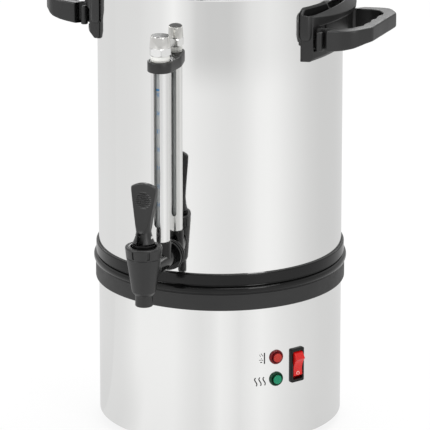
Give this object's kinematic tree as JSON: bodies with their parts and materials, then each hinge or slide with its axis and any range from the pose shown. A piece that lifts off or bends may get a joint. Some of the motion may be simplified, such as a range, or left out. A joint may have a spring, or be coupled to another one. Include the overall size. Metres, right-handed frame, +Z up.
{
  "type": "coffee urn",
  "caption": "Percolating steel urn: lidded tank with a basket on a riser tube, sight gauge, push-down tap, side handles and a heater base with lamps and a rocker switch.",
  "frame": {"origin": "on the table, on the urn's vertical axis", "axes": "+Z up; the tap and gauge point along -Y; the handles lie along +X and -X; the controls face +X and -Y"},
  "size_m": [0.301, 0.2898, 0.4441],
  "materials": {
    "stainless": "satin-polished stainless sheet",
    "inner_steel": "plain stainless sheet",
    "zinc_plate": "zinc-plated steel",
    "bright_steel": "polished",
    "black_plastic": "finely textured moulding",
    "gloss_black": "glossy moulding",
    "white_plastic": "satin",
    "heater_parts": "phenolic",
    "black_rubber": "moulded",
    "white_rubber": "silicone",
    "clear_glass": "clear",
    "red_bezel": "translucent",
    "red_lens": "translucent",
    "green_bezel": "translucent",
    "green_lens": "translucent",
    "red_rocker": "glossy"
  },
  "bodies": {
    "urn": {"base_shell": "stainless", "tank": "stainless", "tank_floor": "inner_steel", "heat_well": "inner_steel", "base_plate": "zinc_plate", "tie_stud": "zinc_plate", "tie_nut": "zinc_plate", "brew_element": "zinc_plate", "warm_element": "zinc_plate", "gauge_guard": "bright_steel", "gauge_cap": "bright_steel", "gauge_nut": "bright_steel", "handle_screws": "bright_steel", "bracket_screw": "bright_steel", "tap_spring": "bright_steel", "label_band": "black_plastic", "handle_right": "black_plastic", "handle_left": "black_plastic", "tap_body": "black_plastic", "tap_collar": "black_plastic", "gauge_bracket": "black_plastic", "foot_ring": "black_plastic", "band_lip": "gloss_black", "tap_shank": "gloss_black", "stem_bush": "gloss_black", "shank_nut": "gloss_black", "gauge_cap_disc": "gloss_black", "switch_frame": "gloss_black", "gauge_washer": "white_plastic", "gauge_nipple": "white_plastic", "terminal_block": "white_plastic", "brew_thermostat": "heater_parts", "warm_thermostat": "heater_parts", "thermal_fuse": "heater_parts", "shank_washer": "black_rubber", "inlet_gland": "black_rubber", "shank_inner_washer": "white_rubber", "gauge_lower_seal": "white_rubber", "gauge_upper_seal": "white_rubber", "gauge_glass": "clear_glass", "lamp_red": "red_bezel", "lamp_red_lens": "red_lens", "lamp_green": "green_bezel", "lamp_green_lens": "green_lens"},
    "percolator": {"riser_tube": "inner_steel", "pump_foot": "inner_steel", "filter_basket": "inner_steel", "basket_sleeve": "inner_steel", "basket_spreader": "inner_steel"},
    "lid": {"lid": "inner_steel", "lid_knob": "black_plastic", "knob_screw": "bright_steel"},
    "plunger": {"plunger_stem": "bright_steel", "valve_seat": "white_rubber", "lever_pin": "bright_steel"},
    "lever": {"tap_lever": "black_plastic"},
    "rocker": {"switch_rocker": "red_rocker"}
  },
  "joints": [
    {"name": "percolator_lift", "type": "slide", "parent": "urn", "child": "percolator", "axis": [0, 0, 1], "range_m": [0, 0.272]},
    {"name": "lid_lift", "type": "slide", "parent": "percolator", "child": "lid", "axis": [0, 0, 1], "range_m": [0, 0.32]},
    {"name": "plunger_lift", "type": "slide", "parent": "urn", "child": "plunger", "axis": [0, 0, 1], "range_m": [0, 0.004], "stiffness_N_per_m": 250, "deforming": ["tap_spring"]},
    {"name": "lever_tip", "type": "hinge", "parent": "plunger", "child": "lever", "pos_m": [0, -0.157, 0.205], "axis": [1, 0, 0], "range_deg": [0, 32.5]},
    {"name": "rocker_tip", "type": "hinge", "parent": "urn", "child": "rocker", "pos_m": [0.09128, -0.04772, 0.0719], "axis": [0.4633, 0.8862, 0], "range_deg": [-25, 0]}
  ],
  "couplings": [
    {"joint": "lever_tip", "follows": "plunger_lift", "rad_per_m": 130.9}
  ]
}
